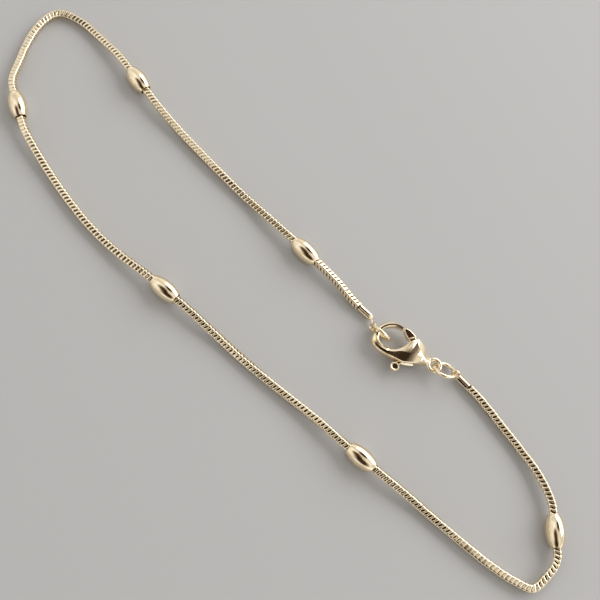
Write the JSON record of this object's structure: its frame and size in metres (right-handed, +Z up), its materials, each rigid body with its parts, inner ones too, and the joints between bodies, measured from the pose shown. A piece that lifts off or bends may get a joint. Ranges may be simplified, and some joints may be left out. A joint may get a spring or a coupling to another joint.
{
  "type": "bead chain bracelet",
  "caption": "Fine square snake chain closed in a loop with oval polished beads spaced along it, fastened by a lobster clasp with a sprung lever and two plain rings.",
  "frame": {"origin": "middle of the closed loop's bounding box, on the surface that it lies on", "axes": "+X along the loop's long axis from the bend with bead_4 to the bend with bead_1, +Y across the loop towards the clasp, +Z up from the surface"},
  "size_m": [0.0921, 0.0198, 0.003],
  "materials": {
    "chain_gold": "pale champagne gold plate, bright edges on the links, dark between them",
    "bead_gold": "pale champagne gold plate, mirror polish",
    "cap_gold": "pale champagne gold plate, bright pressed sheet",
    "ring_gold": "pale champagne gold plate, bright drawn wire",
    "clasp_gold": "pale champagne gold plate, polished casting",
    "lever_gold": "pale champagne gold plate, polished pressing"
  },
  "bodies": {
    "bracelet": {"snake_chain": "chain_gold", "bead_1": "bead_gold", "bead_2": "bead_gold", "bead_3": "bead_gold", "bead_4": "bead_gold", "bead_5": "bead_gold", "bead_6": "bead_gold", "end_cap_tail": "cap_gold", "end_cap_jaw": "cap_gold", "jump_ring": "ring_gold", "end_ring": "ring_gold", "clasp_body": "clasp_gold", "lever_pin": "lever_gold"},
    "lever": {"clasp_lever": "lever_gold"}
  },
  "joints": [
    {"name": "lever_hinge", "type": "hinge", "parent": "bracelet", "child": "lever", "pos_m": [0.01776, 0.00816, 0.00115], "axis": [0, 0, 1], "range_deg": [0, 20], "stiffness_Nm_per_rad": 0.004}
  ]
}
